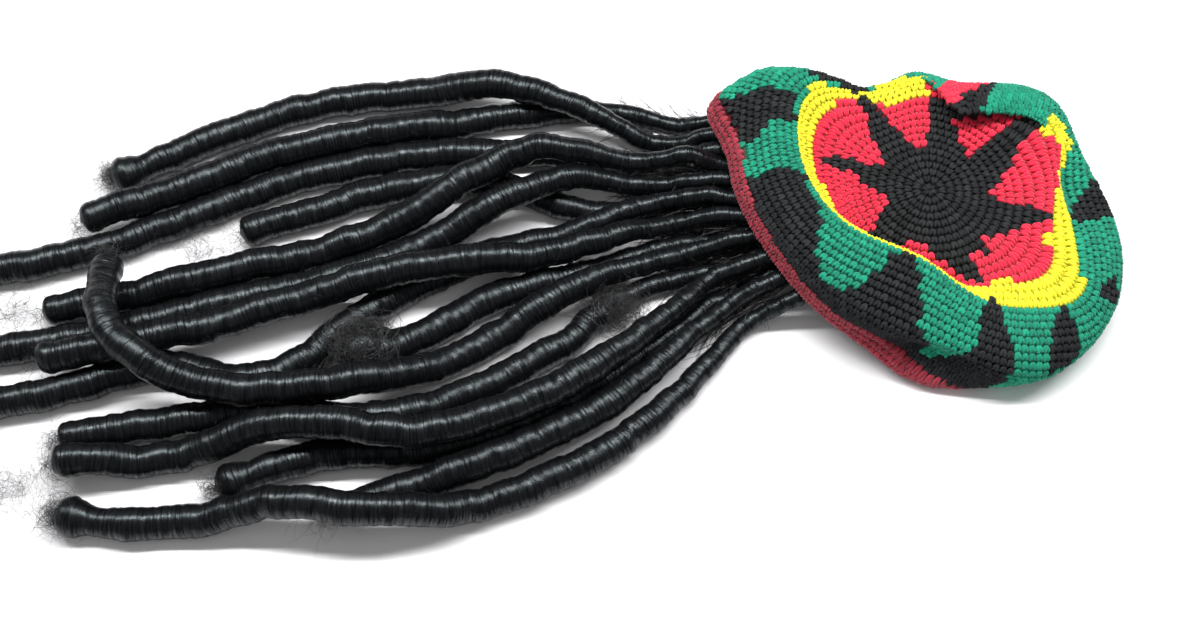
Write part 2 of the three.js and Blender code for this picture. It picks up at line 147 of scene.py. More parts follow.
# Black leaf on the crown and black figures on the band, as corners (degrees, round)
LEAF = [
    [(40, 6.7), (95, 5.3), (109, 8.4), (118, 11.7), (125, 15.6), (129, 15.6), (128, 12.3),
     (135, 7.7), (142, 5.4), (149, 6.3), (156, 9.9), (168, 13.3), (169, 11.5), (166, 9.4),
     (174, 6.8), (194, 4.8), (207, 6.6), (215, 8.2), (217, 14.6), (239, 14.6), (242, 7.6),
     (249, 6.4), (265, 7.7), (275, 9.4), (281, 10.7), (286, 12.8), (292, 13.0), (292, 9.6),
     (297, 9.1), (309, 11.0), (307, 8.7), (311, 7.9), (324, 9.3), (334, 11.0), (343, 13.9),
     (347, 13.9), (349, 11.6), (353, 8.9), (354, 7.0), (6, 8.0), (19, 10.5), (27, 12.6), (29, 14.6),
     (36, 14.9), (39, 12.8), (39, 9.8)],
    [(40, 6.7), (59, 8.9), (69, 10.7), (58, 12.2), (49, 13.0), (45, 15.5), (62, 15.5), (83, 13.0),
     (82, 11.0), (84, 8.4), (95, 5.3)],
]
FIGURES = [
    [(151, 18.5), (155, 21.7), (156, 26.5), (154, 29.5), (163, 31.4), (172, 30.4), (171, 28),
     (168, 24.5), (164, 17.4)],
    [(186, 17.4), (183, 24.4), (186, 29.4), (189, 32.7), (209, 31.7), (232, 31.4), (268, 31.6),
     (264, 29.6), (240, 27.0), (229, 21.5), (225, 25.0), (219, 25.1), (213, 23.7), (206, 19.3)],
    [(240, 16.4), (232, 18.2), (229, 21.5), (237, 27.7), (262, 31.6), (276, 31.4), (272, 30.0),
     (262, 28.4), (249, 22.0), (248, 20.0)],
    [(281, 16.1), (271, 19.3), (266, 25.6), (270, 29.8), (276, 31.4), (290, 31.4), (290, 28.6),
     (282, 25.0), (281, 19.5), (285, 16.9)],
    [(309, 16.9), (302, 18.7), (294, 21.3), (295, 25.3), (307, 24.1), (306, 22.8), (307, 19.6)],
    [(322, 18.2), (335, 21.7), (328, 23.2), (323, 20.4)],
    [(345, 15.4), (351, 19.0), (355, 21.4), (359, 23.5), (370, 23.5), (370, 21.4), (359, 18.6),
     (352, 16.8)],
    [(403, 15.6), (411, 20.7), (414, 23.5), (420, 24.5), (416, 22.5), (427, 20.0), (437, 17.0),
     (437, 15.0)],
    [(142, 19.3), (137, 19.0), (133, 17.3), (128, 15.4), (126, 18.4), (121, 19.5), (115, 19.2),
     (112, 25), (128, 26), (138, 23)],
    [(270, 30.0), (290, 28.6), (306, 29.6), (318, 31.4), (264, 31.6)],
    [(330, 25), (340, 29.5), (352, 31.4), (322, 31.4)],
    [(375, 24), (392, 27), (385, 31.4), (366, 31.4), (362, 28)],
    [(455, 25), (470, 29), (478, 31.4), (440, 31.4), (446, 28)],
]
# Where the crown's red runs up the far edge beside the flap
RED_AT_EDGE = [
    [(88, 14.5), (80, 18.6), (72, 24), (50, 24), (58, 21.6), (69, 19.4), (78, 15), (82, 13)],
]
RIM_START = 30  # the row before the rim is worked in its colour
# How far out the red and the yellow are worked: degrees, the last red round, the last yellow
COLOUR_EDGES = np.array([
    [0, 14.5, 16.6], [8, 15.2, 17.4], [14, 16.3, 18.6], [19, 16.0, 20.5], [21, 14.9, 21.5],
    [28, 14.1, 21.5], [31, 15.4, 16.4], [74, 15.4, 16.0],
    [82, 13.3, 18.6], [110, 13.2, 19.4], [116, 13.4, 18.8], [122, 14.2, 17.6], [132, 15.0, 17.6],
    [142, 14.2, 17.8], [160, 13.9, 17.0], [180, 13.6, 17.4], [190, 13.2, 17.0], [205, 14.0, 17.0],
    [285, 13.6, 17.0], [300, 13.4, 17.2], [315, 14.0, 17.0], [330, 13.4, 16.2], [345, 13.7, 16.0],
    [360, 14.5, 16.6],
])

# Camera
CAMERA_PLACE = (-0.245, -0.6149, 1.0154)
CAMERA_TILT = math.radians(28)
CAMERA_LENS = 50.08

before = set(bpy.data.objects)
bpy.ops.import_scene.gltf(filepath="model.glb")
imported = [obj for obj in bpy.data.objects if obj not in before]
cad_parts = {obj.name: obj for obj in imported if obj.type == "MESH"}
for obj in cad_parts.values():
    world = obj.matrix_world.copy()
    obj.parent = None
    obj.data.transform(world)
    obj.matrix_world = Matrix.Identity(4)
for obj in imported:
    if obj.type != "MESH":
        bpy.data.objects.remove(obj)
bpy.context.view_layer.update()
scene = bpy.context.scene
SEED = 7
rng = np.random.default_rng(SEED)


# The cap's surface

def smooth_between(at, values, slopes, wanted):
    """Points of the smooth curves that have known values and slopes at some places."""
    i = np.clip(np.searchsorted(at, wanted, side="right") - 1, 0, len(at) - 2)
    width = (at[i + 1] - at[i])[:, None]
    u = (wanted - at[i])[:, None] / width
    return (
        values[i] * (1 + 2 * u) * (1 - u) ** 2
        + slopes[i] * width * u * (1 - u) ** 2
        + values[i + 1] * u * u * (3 - 2 * u)
        + slopes[i + 1] * width * u * u * (u - 1)
    )


def columns_at(rounds):
    """The eight measures of a ring at each round."""
    at, values = RINGS[:, 0], RINGS[:, 1:]
    steps = np.diff(at)[:, None]
    slopes = np.diff(values, axis=0) / steps
    before, after = steps[:-1], steps[1:]
    inner = (slopes[:-1] * after + slopes[1:] * before) / (before + after)
    return smooth_between(at, values, np.vstack([slopes[:1], inner, slopes[-1:]]), rounds).T


def on_floor(height):
    """Bends heights near and below the floor onto it."""
    bent = (height + FLOOR_BEND) ** 2 / (4 * FLOOR_BEND)
    return np.where(height < -FLOOR_BEND, 0, np.where(height > FLOOR_BEND, height, bent))


def cap_points(rounds, angles, folds=FOLDS):
    """Points of the cap's outer face, in millimetres, by round and direction."""
    rounds, angles = np.broadcast_arrays(np.asarray(rounds, float), np.asarray(angles, float))
    shape = rounds.shape
    rounds, angles = rounds.ravel(), angles.ravel()
    near, far, head, foot, z_near, z_far, z_head, z_foot = columns_at(rounds)
    turn = angles - SLIT_ANGLE
    along = (head + foot) / 2 + (foot - head) / 2 * np.cos(turn)
    across = (near + far) / 2 + (far - near) / 2 * np.sin(turn)
    tilt = (z_foot - z_head) / 2 * np.cos(turn) + (z_far - z_near) / 2 * np.sin(turn)
    saddle = (z_head + z_foot - z_near - z_far) / 4 * np.cos(2 * turn)
    z = (z_near + z_far + z_head + z_foot) / 4 + tilt + saddle
    x = along * math.cos(SLIT_ANGLE) - across * math.sin(SLIT_ANGLE)
    y = along * math.sin(SLIT_ANGLE) + across * math.cos(SLIT_ANGLE)
    fade = np.minimum(1, rounds / FOLDS_START)
    for _, angle, spread, at, reach, out, lift, _ in folds:
        off = (np.degrees(angles) - angle + 180) % 360 - 180
        share = fade * np.exp(-((off / spread) ** 2) - ((rounds - at) / reach) ** 2)
        x = x + share * out * np.cos(angles)
        y = y + share * out * np.sin(angles)
        z = z + share * lift
    return np.stack([x, y, on_floor(z)], axis=-1).reshape(shape + (3,))


INSIDE_FOLDS = [fold for fold in FOLDS if fold[-1] == 1]
NUDGE = 0.02  # step, in rounds or radians, over which the cloth's directions are measured


def unit(vectors):
    return vectors / np.maximum(np.linalg.norm(vectors, axis=-1, keepdims=True), TINY)


def lengths_along(points):
    """How far along a line each of its points lies."""
    steps = np.linalg.norm(np.diff(points, axis=0), axis=1)
    return np.concatenate([[0], np.cumsum(steps)])


def axes_at(rounds, angles, folds=FOLDS):
    """Around, away from the centre, and outward from the cloth, as unit vectors."""
    before, after = (cap_points(rounds, angles + step, folds) for step in (-NUDGE, NUDGE))
    around = unit(after - before)
    low = np.maximum(rounds - NUDGE, 0)
    away = cap_points(rounds + NUDGE, angles, folds) - cap_points(low, angles, folds)
    away = unit(away - around * np.sum(away * around, axis=-1, keepdims=True))
    return around, away, np.cross(away, around)


def inner_points(rounds, angles):
    """The matching points of the cap's inner face, one wall thickness in."""
    here = cap_points(rounds, angles, INSIDE_FOLDS)
    normal = axes_at(rounds, angles, INSIDE_FOLDS)[2]
    centre = (np.broadcast_to(rounds, here.shape[:-1]) == 0)[..., None]
    normal = np.where(centre, (0.0, 0.0, 1.0), normal)
    here = here - WALL * normal
    here[..., 2] = np.maximum(here[..., 2], WALL)
    return here


def inside(shapes, rounds, angles, flat):
    """Whether each place lies in one of the charted shapes.

    A flat shape's sides are straight on the crown, those of the others on a chart of rounds
    over degrees, which is looked at twice because some shapes run past 360 degrees.
    """
    degrees = np.degrees(angles) % 360
    found = np.zeros(degrees.shape, bool)
    for shape in shapes:
        corners = np.array(shape, float)
        for turn in (0,) if flat else (0, 360):
            if flat:
                a = np.radians(corners[:, 0])
                px, py = corners[:, 1] * (np.cos(a), np.sin(a))
                x, y = rounds * np.cos(angles), rounds * np.sin(angles)
            else:
                px, py = corners[:, 0], corners[:, 1]
                x, y = degrees + turn, rounds
            hit = np.zeros(degrees.shape, bool)
            for i in range(len(px)):
                x0, y0, x1, y1 = px[i - 1], py[i - 1], px[i], py[i]
                if y0 == y1:
                    continue
                crosses = (y0 > y) != (y1 > y)
                hit ^= crosses & (x < x0 + (y - y0) * (x1 - x0) / (y1 - y0))
            found |= hit
    return found


# Numbers of the yarns, in the order of YARNS below
RED, YELLOW, GREEN, BLACK, RIM = range(5)


def colour_at(rounds, angles):
    """Which yarn each place of the cap is worked in."""
    rounds, angles = np.broadcast_arrays(rounds, angles)
    degrees = np.degrees(angles) % 360
    at, *edges = COLOUR_EDGES.T
    red_edge, yellow_edge = (np.interp(degrees, at, edge) for edge in edges)
    colour = np.full(rounds.shape, GREEN)
    colour[rounds < yellow_edge] = YELLOW
    colour[(rounds < red_edge) | inside(RED_AT_EDGE, rounds, angles, False)] = RED
    colour[inside(FIGURES, rounds, angles, False)] = BLACK
    colour[inside(LEAF, rounds, angles, True) & (rounds < STRIPE_EDGE)] = BLACK
    colour[rounds >= RIM_START] = RIM
    return colour


# Stitches

STITCH_WIDTH = 5.1
ROW_PITCH = 5.9
GRID = 720  # places at which a row is followed
BAND_SAMPLES = 141  # places across the band at which its depth is measured
FEWEST_STITCHES = 6  # in the first round
SHORTEST_ROW = 8  # places of the grid that a row covers at least
LAST_ROW = 0.09  # how much of a row must still fit before the rim


def row_stitches(rounds_on_grid, pitch_on_grid, valid, angles):
    """Places and sizes of the stitches of one row."""
    points = cap_points(rounds_on_grid, angles)
    length = lengths_along(np.vstack([points, points[:1]]))
    count = max(FEWEST_STITCHES, round(length[-1] / STITCH_WIDTH))
    places = (np.arange(count) + rng.random()) / count * length[-1] % length[-1]
    index = np.interp(places, length, np.arange(GRID + 1))
    low = index.astype(int) % GRID
    part = index - index.astype(int)
    high = (low + 1) % GRID
    rounds = rounds_on_grid[low] * (1 - part) + rounds_on_grid[high] * part
    pitch = pitch_on_grid[low] * (1 - part) + pitch_on_grid[high] * part
    turn = index / GRID * 2 * math.pi
    keep = valid[low] & valid[high]
    width = np.full(count, length[-1] / count)
    return np.stack([rounds, turn, width, pitch], axis=1)[keep]


def all_stitches():
    """Round, angle, width and pitch of each stitch of the cap.

    On the crown and the rim each row is a round. The band's rows have an even pitch, so some
    end where the band gets too shallow.
    """
    angles = np.arange(GRID) * 2 * math.pi / GRID
    rows = []

    def work_round(number):
        rounds = np.full(GRID, number + 0.5)
        step = cap_points(rounds + NUDGE, angles) - cap_points(rounds - NUDGE, angles)
        depth = np.linalg.norm(step, axis=1) / (2 * NUDGE)
        rows.append(row_stitches(rounds, depth, np.ones(GRID, bool), angles))

    for number in range(STRIPE_EDGE):
        work_round(number)
    fine = np.linspace(STRIPE_EDGE, RIM_START, BAND_SAMPLES)
    sheet = cap_points(fine[:, None], angles[None, :])
    deep = np.linalg.norm(np.diff(sheet, axis=0), axis=2)
    deep = np.vstack([np.zeros(GRID), np.cumsum(deep, axis=0)])
    for number in range(int(deep[-1].max() / ROW_PITCH) + 1):
        target = (number + 0.5) * ROW_PITCH
        rounds = np.array([np.interp(target, deep[:, i], fine) for i in range(GRID)])
        valid = target < deep[-1] - ROW_PITCH * LAST_ROW
        if valid.sum() > SHORTEST_ROW:
            rows.append(row_stitches(rounds, np.full(GRID, ROW_PITCH), valid, angles))
    for number in range(RIM_START, RIM_EDGE):
        work_round(number)
    return np.vstack(rows)


# One stitch: two plump legs that meet towards the crown's centre. Each row of the table is a
# point of the right-hand leg: aside, away and up (shares of the width, the pitch and 1 mm), radius
LEG = np.array([
    [0.05, -0.46, -1.0, 0.9],
    [0.13, -0.28, 0.2, 1.4],
    [0.21, 0.0, 0.6, 1.6],
    [0.27, 0.24, 0.2, 1.45],
    [0.30, 0.44, -1.0, 0.9],
])
LEG_SIDES = 5
LEG_END = 0.7  # how far a leg's end bulges, in radii
END_UV = 0.1  # how far past the leg the yarn's pattern runs on its end
STITCH_SINK = 0.35  # how deep the stitches lie in the cap's outer face
STITCH_OFF_FLOOR = 0.15
# Uneven work: turn in radians, size, height in millimetres, and shade
STITCH_TURN, STITCH_SIZE, STITCH_LIFT, STITCH_SHADE = 0.09, 0.05, 0.16, 0.2


def build_stitches(stitches, name):
    """One mesh with a two-legged stitch at each place."""
    rounds, angles, width, pitch = stitches.T
    here = cap_points(rounds, angles)
    around, away, normal = axes_at(rounds, angles)
    count = len(stitches)
    turn = rng.normal(0, STITCH_TURN, count)[:, None]
    cos, sin = np.cos(turn), np.sin(turn)
    around, away = around * cos + away * sin, away * cos - around * sin
    size = (1 + rng.normal(0, STITCH_SIZE, count))[:, None]
    lift = rng.normal(0, STITCH_LIFT, count)[:, None]
    verts = []
    sides = LEG_SIDES
    rings = len(LEG)
    for hand in (-1, 1):
        uneven = (1 + rng.normal(0, STITCH_SIZE, count))[:, None]
        for k, (aside, out, up, radius) in enumerate(LEG):
            before, after = LEG[max(0, k - 1)], LEG[min(rings - 1, k + 1)]
            centre = here + around * (hand * aside * width)[:, None]
            centre = centre + away * (out * pitch)[:, None] + normal * (up - STITCH_SINK + lift)
            direction = unit(
                around * (hand * (after[0] - before[0]) * width)[:, None]
                + away * ((after[1] - before[1]) * pitch)[:, None]
                + normal * (after[2] - before[2])
            )
            side = unit(np.cross(direction, normal))
            top = np.cross(side, direction)
            scale = radius * size * uneven * (width / STITCH_WIDTH)[:, None]
            for j in range(sides):
                a = 2 * math.pi * j / sides
                verts.append(centre + (side * math.cos(a) + top * math.sin(a)) * scale)
            if k in (0, rings - 1):
                end = -1 if k == 0 else 1
                verts.append(centre + direction * end * scale * LEG_END)
    verts = np.stack(verts, axis=1)
    verts[..., 2] = np.maximum(verts[..., 2], STITCH_OFF_FLOOR)
    per = verts.shape[1]
    quads, tris, quad_uv, tri_uv = [], [], [], []
    edges = [(j, (j + 1) % sides, j / sides, (j + 1) / sides) for j in range(sides)]
    for first in (0, per // 2):
        ring_at = [first + k * sides + (k > 0) for k in range(rings)]
        for k, (a, b) in enumerate(zip(ring_at, ring_at[1:])):
            v0, v1 = k / (rings - 1), (k + 1) / (rings - 1)
            for j, n, u0, u1 in edges:
                quads.append([a + j, a + n, b + n, b + j])
                quad_uv.append([(u0, v0), (u1, v0), (u1, v1), (u0, v1)])
        start, last = ring_at[0], ring_at[-1]
        for j, n, u0, u1 in edges:
            middle = (u0 + u1) / 2
            tris += [[start + sides, start + n, start + j], [last + sides, last + j, last + n]]
            tri_uv.append([(middle, -END_UV), (u1, 0), (u0, 0)])
            tri_uv.append([(middle, 1 + END_UV), (u0, 1), (u1, 1)])
    base = (np.arange(count) * per)[:, None, None]
    quads, tris = ((np.array(faces) + base).reshape(-1, len(faces[0])) for faces in (quads, tris))
    uv = [np.tile(np.array(uvs, float), (count, 1, 1)).reshape(-1, 2) for uvs in (quad_uv, tri_uv)]
    shade = np.repeat(np.clip(0.5 + rng.normal(0, STITCH_SHADE, count), 0, 1), per)
    mesh = mesh_from(name, verts.reshape(-1, 3), quads, tris)
    set_uv(mesh, np.vstack(uv))
    layer = mesh.attributes.new("shade", "FLOAT", "POINT")
    layer.data.foreach_set("value", shade.astype(np.float32))
    return mesh


# Meshes

def mesh_from(name, verts, quads, tris=()):
    """A smooth-shaded mesh from points in millimetres and its faces."""
    quads, tris = np.array(quads), np.array(tris, int).reshape(-1, 3)
    corners = np.concatenate([quads.ravel(), tris.ravel()])
    mesh = bpy.data.meshes.new(name)
    mesh.vertices.add(len(verts))
    mesh.vertices.foreach_set("co", (np.asarray(verts, np.float32) * MM).ravel())
    mesh.loops.add(len(corners))
    mesh.loops.foreach_set("vertex_index", corners.astype(np.int32))
    mesh.polygons.add(len(quads) + len(tris))
    starts = np.concatenate([np.arange(len(quads)) * 4, quads.size + np.arange(len(tris)) * 3])
    mesh.polygons.foreach_set("loop_start", starts.astype(np.int32))
    mesh.polygons.foreach_set("use_smooth", np.ones(len(starts), bool))
    mesh.update(calc_edges=True)
    mesh.validate()
    return mesh


def ring_quads(first, second, sides):
    """The faces between two rings, given the numbers of their first points."""
    here = np.arange(sides)
    after = (here + 1) % sides
    return np.stack([first + here, second + here, second + after, first + after], axis=1)


def set_uv(mesh, uv):
    layer = mesh.uv_layers.new(name="UVMap")
    layer.data.foreach_set("uv", np.asarray(uv, np.float32).ravel())


def put(name, data):
    """An object in the scene."""
    thing = bpy.data.objects.new(name, data)
    scene.collection.objects.link(thing)
    return thing


def piece(mesh, material, replaces=()):
    """Shows a mesh as a piece of the model."""
    thing = put(mesh.name, mesh)
    mesh.materials.append(material)
    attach(thing, "root")
    if replaces:
        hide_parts(*replaces)


# The cap's cloth behind the stitches

CLOTH_TURNS = 216
CLOTH_STEP = 0.5  # rounds from one ring of the cloth to the next
CLOTH_IN = 1.1  # how far the cloth lies behind the stitches' faces
CLOTH_OFF_FLOOR = 0.4
# painted shade: the cloth seen in the gaps between stitches and on the cap's inside is darkened
# against its yarn
CLOTH_PAINTED_SHADE = 0.6  # how bright it is against the stitches
INNER_RIDGE = 0.45  # height of the rounds on the inner face
NEAR_CENTRE = 0.05  # the round at which the cloth's direction at the very centre is taken


def cloth_mesh():
    """The cap's wall, plain outside and ridged in rounds inside, tinted like its stitches but
    darker, as painted shade.
    """
    count = int(RIM_EDGE / CLOTH_STEP) + 1
    rounds = np.arange(count)[:, None] * CLOTH_STEP
    angles = np.arange(CLOTH_TURNS)[None, :] * 2 * math.pi / CLOTH_TURNS
    off_centre = np.maximum(rounds, NEAR_CENTRE)
    outer = cap_points(rounds, angles) - axes_at(off_centre, angles)[2] * CLOTH_IN
    outer[..., 2] = np.maximum(outer[..., 2], CLOTH_OFF_FLOOR)
    ridge = INNER_RIDGE * np.cos(rounds * 2 * math.pi)[..., None]
    inner = inner_points(rounds, angles) + axes_at(off_centre, angles, INSIDE_FOLDS)[2] * ridge
    verts = np.concatenate([outer.reshape(-1, 3), inner.reshape(-1, 3)])
    quads = []
    under = count * CLOTH_TURNS
    for k in range(1, count):
        sheet = ring_quads((k - 1) * CLOTH_TURNS, k * CLOTH_TURNS, CLOTH_TURNS)
        quads += [sheet, under + sheet[:, [0, 3, 2, 1]]]
    edge = under - CLOTH_TURNS
    quads.append(ring_quads(edge, under + edge, CLOTH_TURNS))
    mesh = mesh_from("cap_cloth", verts, np.vstack(quads))
    colours = colour_at(rounds, angles).ravel()
    yarn_tints = np.array([colour for colour, *_ in YARNS.values()])
    shaded_tint = np.ones((len(verts), 4), np.float32)
    # each yarn's colour darkened as painted shade for the gaps between stitches and the cap's
    # inside
    shaded_tint[:, :3] = np.tile(yarn_tints[colours], (2, 1)) * CLOTH_PAINTED_SHADE
    layer = mesh.color_attributes.new("shaded_tint", "FLOAT_COLOR", "POINT")
    layer.data.foreach_set("color", shaded_tint.ravel())
    return mesh


# Dreadlocks

LOCK_RADIUS = 11.0  # full radius
ROOT_RADIUS = 5.8  # radius where a lock is sewn in
ROOT_SPREAD = 200  # length over which a root swells to full size
ROOT_INSIDE = 20  # how far inside the rim a root starts
TIER_DROP = 9.6  # height between the two sewn rows of roots
LOCK_SIDES = 8  # of the plain solid that a lock replaces
LOCK_STEP = 21  # length of one straight stretch of that solid
LAY_GAP = 0.35  # gap where one lock lies on another
HUMP_SLOPE = 0.36  # steepest rise of a lock that passes over another
ROOT_SLOPE = 0.55  # steepest fall from the rim to the floor
LIP_SAMPLES = 480  # places at which the rim's edge is measured
LAY_PASSES = 6  # times that the laying is checked and lifted
LAY_SAMPLES = 4  # places checked on each straight stretch
LOWER_TIER = {"16", "18", "14", "13"}
ARC_STEPS = 200  # steps in which a route's length is measured
SHORTEST_SPAN = 1e-4


def lip_points():
    """Points on the outer edge, the middle and the inner edge of the rim."""
    angles = np.arange(LIP_SAMPLES) * 2 * math.pi / LIP_SAMPLES
    outer = cap_points(float(RIM_EDGE), angles)
    inner = inner_points(np.array(float(RIM_EDGE)), angles)
    return np.vstack([outer, (outer + inner) / 2, inner])


def near_line(points, start, end):
    """The nearest points of a straight stretch."""
    line = end - start
    share = np.sum((points - start) * line, axis=-1) / max(np.dot(line, line), TINY)
    return start + np.clip(share, 0, 1)[..., None] * line


def height_under_lip(start, end, lip):
    """The height at which a root between two points just touches the rim from below."""
    reach = ROOT_RADIUS + LAY_GAP
    flat = lip * (1, 1, 0)
    apart = np.linalg.norm(near_line(flat, start, end) - flat, axis=1)
    over = apart < reach
    return np.min(lip[over, 2] - np.sqrt(reach**2 - apart[over] ** 2))


def plan_points(route):
    """Even points along a route in plan, starting inside the rim."""
    knots = np.array([(x, y, 0.0) for x, y in route])
    back = unit(knots[0] - knots[1]) * ROOT_INSIDE
    knots = np.vstack([knots[0] + back, knots])
    ends = [2 * knots[0] - knots[1], 2 * knots[-1] - knots[-2]]
    padded = np.vstack([ends[:1], knots, ends[1:]])

    def at(share):
        """A point of the centripetal curve through the knots."""
        place = share * (len(knots) - 1)
        i = min(int(place), len(knots) - 2)
        u = place - i
        x0, x1, x2, x3 = near = padded[i : i + 4]
        spans = np.sum(np.diff(near, axis=0) ** 2, axis=1) ** 0.25
        d0, d1, d2 = np.maximum(spans, SHORTEST_SPAN)
        t1 = ((x1 - x0) / d0 - (x2 - x0) / (d0 + d1) + (x2 - x1) / d1) * d1
        t2 = ((x2 - x1) / d1 - (x3 - x1) / (d1 + d2) + (x3 - x2) / d2) * d1
        square = (-3 * x1 + 3 * x2 - 2 * t1 - t2) * u**2
        return x1 + t1 * u + square + (2 * x1 - 2 * x2 + t1 + t2) * u**3

    shares = np.arange(ARC_STEPS + 1) / ARC_STEPS
    line = np.array([at(s) for s in shares])
    length = lengths_along(line)
    count = round(length[-1] / LOCK_STEP)
    even = np.interp(np.linspace(0, length[-1], count + 1), length, shares)
    return np.array([at(s) for s in even])


def lock_radius(along):
    swell = np.clip((along - ROOT_INSIDE) / ROOT_SPREAD, 0, 1)
    return ROOT_RADIUS + (LOCK_RADIUS - ROOT_RADIUS) * swell * swell * (3 - 2 * swell)


def lay_lock(number, laid, lip):
    """The heights of a lock: on the floor, over what lies below it, and up under the rim."""
    path = plan_points(ROUTES[number])
    lengths = lengths_along(path)
    radii = lock_radius(lengths)
    rooted = lengths <= ROOT_INSIDE + ROOT_RADIUS
    root_height = height_under_lip(path[0], path[1], lip)
    if number in LOWER_TIER:
        root_height -= TIER_DROP
    need = np.where(rooted, root_height, radii * math.cos(math.pi / LOCK_SIDES))
    slope = np.where(rooted, ROOT_SLOPE, HUMP_SLOPE)
    apart = np.abs(lengths[:, None] - lengths[None, :])

    def settle():
        free = np.max(need[None, :] - slope[None, :] * apart, axis=1)
        path[:, 2] = np.where(rooted, need, np.maximum(need, free))

    settle()
    share = np.arange(LAY_SAMPLES + 1) / LAY_SAMPLES
    for _ in range(LAY_PASSES):
        points = path[:-1, None] * (1 - share)[:, None] + path[1:, None] * share[:, None]
        radius = radii[:-1, None] * (1 - share) + radii[1:, None] * share
        height = np.zeros(radius.shape)
        for other, other_radii in laid:
            for i in range(1, len(other)):
                on = near_line(points, other[i - 1], other[i])
                away = np.hypot(on[..., 0] - points[..., 0], on[..., 1] - points[..., 1])
                reach = radius + max(other_radii[i - 1], other_radii[i]) + LAY_GAP
                touching = np.linalg.norm(on - points, axis=-1) < reach
                top = on[..., 2] + np.sqrt(np.maximum(reach**2 - away**2, 0))
                height = np.where(touching, np.maximum(height, top), height)
        lift = np.maximum(height - points[..., 2], 0)
        for i in range(1, len(path)):
            most = lift[i - 1].max()
            if most <= 0:
                continue
            for end in (i - 1, i):
                if not rooted[end]:
                    need[end] = max(need[end], path[end, 2] + most)
        settle()
    return path, radii


FINE_STEP = 2.2  # length between the rings of a shown lock
ROUND_SIDES = 22
TURN_PITCH = 7.0  # from one turn of the wrapping to the next
RIDGE = 0.6  # how far a turn stands out
RIDGE_POWER = 0.7  # below 1 for broad turns with narrow grooves
LOCK_OFF_FLOOR = 0.25
END_BULGE = 0.6  # how far the closed end stands out
END_LEAST = 0.1  # width of the last ring against the lock's
LUMP_SIDE = 1.1  # direction round the lock in which its lumps lie, in radians


def smooth_path(path, radii):
    """Fine points along a laid lock, with their radii and lengths."""
    lengths = lengths_along(path)
    slopes = np.gradient(path, lengths, axis=0)
    fine = np.arange(0, lengths[-1], FINE_STEP)
    points = smooth_between(lengths, path, slopes, fine)
    return points, np.interp(fine, lengths, radii), fine


# Unevenness along a lock: what is added to its number as a seed, wave lengths and heights
ASIDE = (100, (41, 23), (0.5, 0.25))
PACE = (200, (67, 31), (0.25, 0.15))  # of the turns, in turns
WIDTH = (300, (58, 27, 14), (0.25, 0.22, 0.16))
LUMPS = (400, (36, 17), (0.25, 0.2))
FULL_TURN = 6.3
WANDER = 0.35  # how far a wave's phase wanders, in turns
WANDER_PERIOD = 3.7  # how long that takes, in wave lengths


def waves(at, number, kind):
    """A smooth uneven line: a few waves of different length, drawn by chance."""
    seed, periods, sizes = kind
    chance = np.random.default_rng(int(number) + seed)
    total = np.zeros_like(at)
    for period, size in zip(periods, sizes):
        slow = at * 2 * math.pi / (period * WANDER_PERIOD) + chance.uniform(0, FULL_TURN)
        phase = FULL_TURN * (WANDER * np.sin(slow)) + chance.uniform(0, FULL_TURN)
        total = total + size * np.sin(at * 2 * math.pi / period + phase)
    return total


# How the free ends look: the reach of the end and its width there, from the tip backwards
KNOTTED = (
    (0, 0.0), (2, 0.66), (6, 1.08), (12, 1.24), (19, 1.05), (26, 0.84), (36, 0.94), (50, 1.0),
)
BLUNT = ((0, 0.0), (1.2, 0.62), (4, 0.9), (9, 1.02), (16, 0.97), (40, 1.0))
TAPERED = ((0, 0.0), (1.5, 0.34), (5, 0.55), (14, 0.72), (30, 0.9), (55, 1.0))
BALLED = ((0, 0.0), (2, 0.9), (6, 1.4), (13, 1.8), (24, 1.9), (34, 1.6), (44, 1.1), (60, 1.0))
ENDS = {"01": KNOTTED, "12": KNOTTED, "14": KNOTTED, "11": TAPERED, "18": BALLED}
TIP_BEYOND = 6.0  # how far the wrapped end reaches past the last point of the route
LONG_TIPS = {"01": 12.0, "09": 10.0, "18": 20.0}


